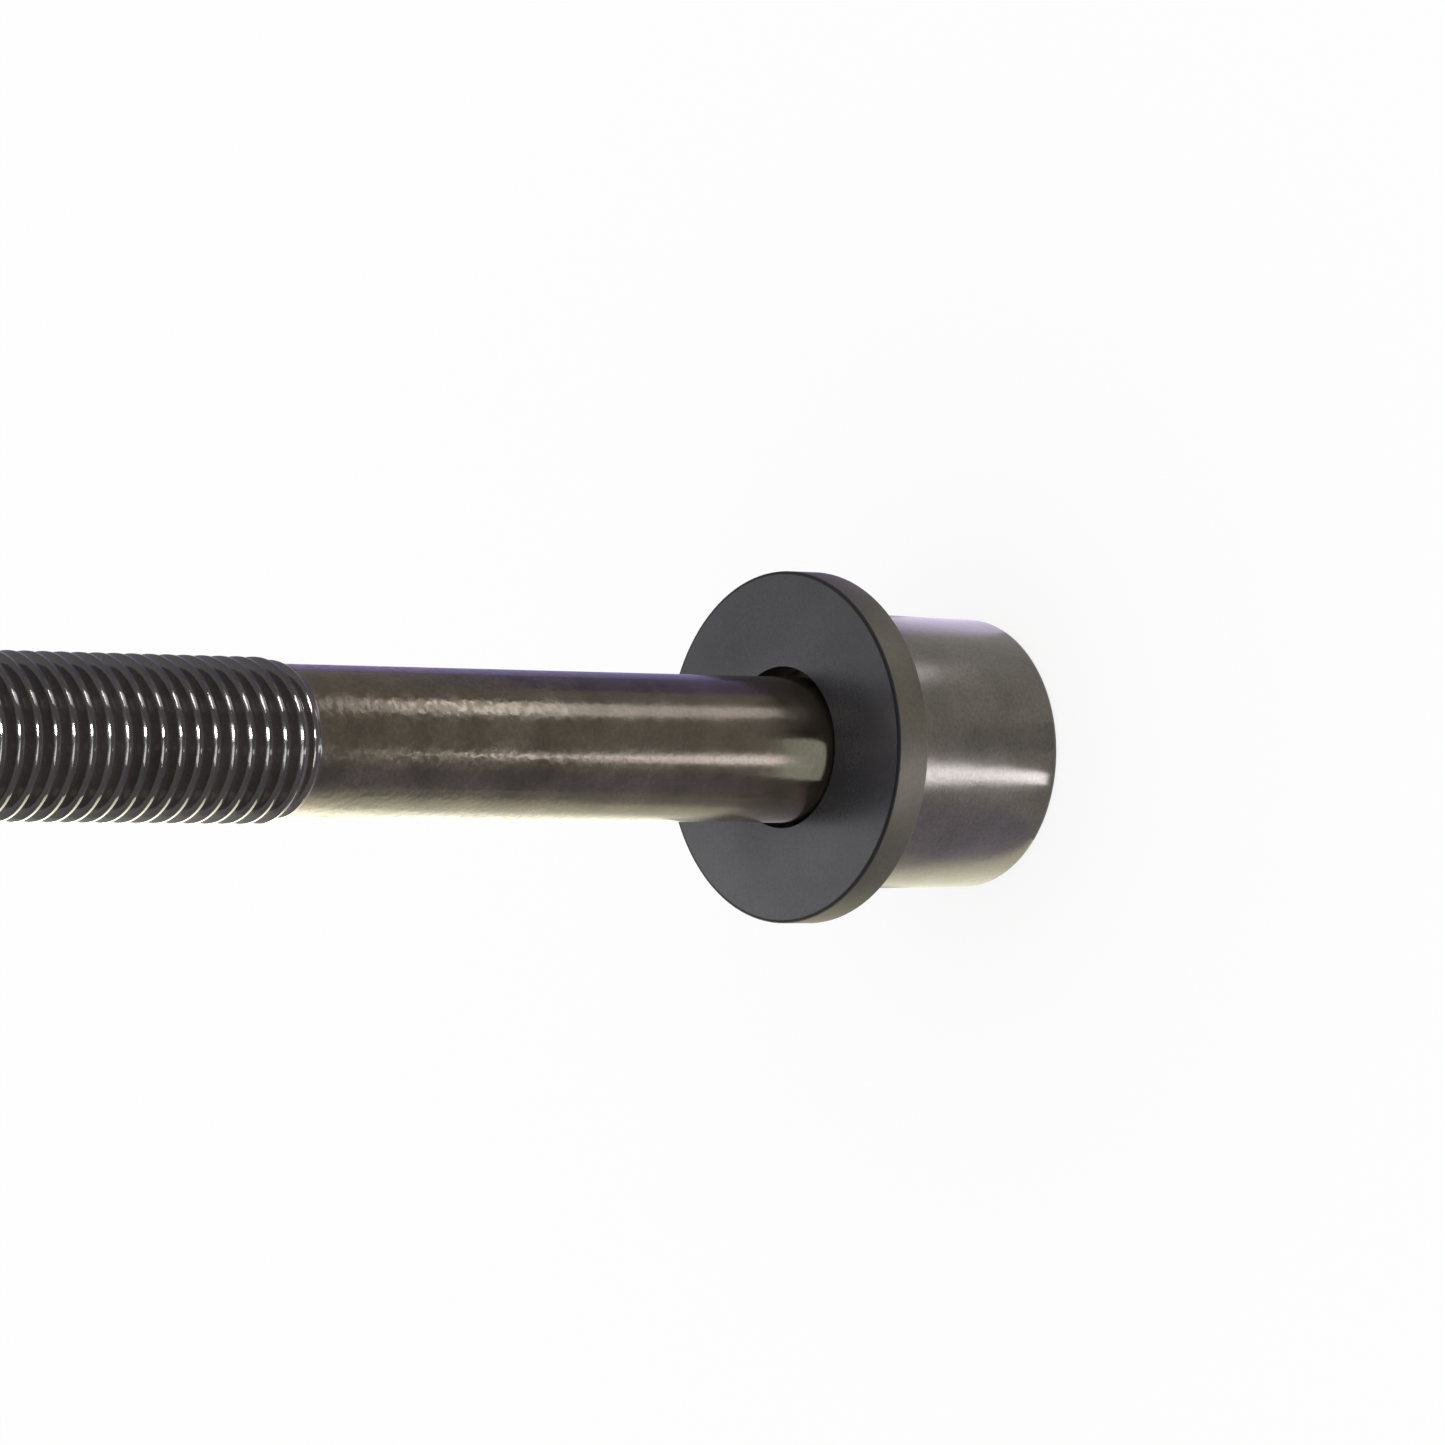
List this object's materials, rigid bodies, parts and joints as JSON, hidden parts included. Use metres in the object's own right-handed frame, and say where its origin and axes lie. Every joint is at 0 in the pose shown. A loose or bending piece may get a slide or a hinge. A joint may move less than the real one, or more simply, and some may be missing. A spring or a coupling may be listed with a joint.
{
  "type": "cylinder head bolt",
  "caption": "Long round-head engine bolt with a hexagon socket, plain shank, fine thread and a thick loose washer under the head, for clamping a head to a block.",
  "frame": {"origin": "middle of the head's flat end face, on which the bolt stands", "axes": "+Z runs along the bolt from the head to the tip; +X and +Y are across it, with flats of the hexagon socket facing +Y and -Y"},
  "size_m": [0.0268, 0.0268, 0.1255],
  "materials": {
    "blackened_steel": "blackened and oiled, satin, with fine wear marks",
    "blackened_washer_steel": "blackened, satin to matt"
  },
  "bodies": {
    "root": {"bolt": "blackened_steel", "washer": "blackened_washer_steel"}
  },
  "joints": []
}
